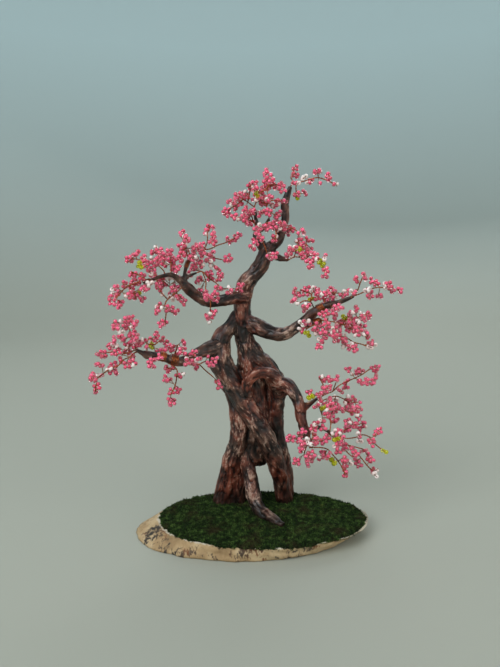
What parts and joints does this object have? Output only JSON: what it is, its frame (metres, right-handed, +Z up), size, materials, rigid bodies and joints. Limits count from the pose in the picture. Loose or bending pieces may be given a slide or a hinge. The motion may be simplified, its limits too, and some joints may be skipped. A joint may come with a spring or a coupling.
{
  "type": "beaded cherry blossom bonsai",
  "caption": "Handmade bonsai cherry tree in blossom: glass bead loops on copper wire, a sculpted painted trunk, moss, and an oval slice of birch to stand on",
  "frame": {"origin": "middle of the birch slab's flat underside", "axes": "+X right, -Y front, +Z up along the tree"},
  "size_m": [0.1735, 0.0676, 0.208],
  "materials": {
    "birch_bark": "bare birch bark, matt",
    "moss": "dark green moss fibres",
    "painted_bark": "sculpted, painted dark brown with pale streaks, semi-gloss",
    "glass_beads": "pink, white and yellow-green seed beads on copper wire",
    "copper_wire": "bare copper"
  },
  "bodies": {
    "root": {"birch_slab": "birch_bark", "moss_mat": "moss", "spray_apex": "glass_beads", "spray_crown_front": "glass_beads", "spray_crown_heart": "glass_beads", "spray_crown_left": "glass_beads", "spray_crown_low_left": "glass_beads", "spray_crown_low_right": "glass_beads", "spray_crown_right": "glass_beads", "spray_crown_top": "glass_beads", "spray_left_far": "glass_beads", "spray_left_far_top": "glass_beads", "spray_left_hanger": "glass_beads", "spray_left_lower_right": "glass_beads", "spray_left_mid": "glass_beads", "spray_left_mid_top": "glass_beads", "spray_left_top_left": "glass_beads", "spray_left_top_right": "glass_beads", "spray_low_left_drop": "glass_beads", "spray_low_left_far": "glass_beads", "spray_low_left_front": "glass_beads", "spray_low_left_hanger": "glass_beads", "spray_low_left_mid": "glass_beads", "spray_low_left_near": "glass_beads", "spray_low_left_right": "glass_beads", "spray_low_left_top": "glass_beads", "spray_low_right_drop": "glass_beads", "spray_low_right_far": "glass_beads", "spray_low_right_heart": "glass_beads", "spray_low_right_low": "glass_beads", "spray_low_right_near": "glass_beads", "spray_low_right_side": "glass_beads", "spray_low_right_tip": "glass_beads", "spray_low_right_tip_left": "glass_beads", "spray_low_right_top": "glass_beads", "spray_low_right_upper_left": "glass_beads", "spray_right_far": "glass_beads", "spray_right_low_drop": "glass_beads", "spray_right_low_far": "glass_beads", "spray_right_low_mid": "glass_beads", "spray_right_mid_front": "glass_beads", "spray_right_mid_near": "glass_beads", "spray_right_mid_sprig": "glass_beads", "spray_right_mid_top": "glass_beads", "spray_upper_right": "glass_beads", "trunk": "painted_bark", "wire_armature": "copper_wire"}
  },
  "joints": []
}
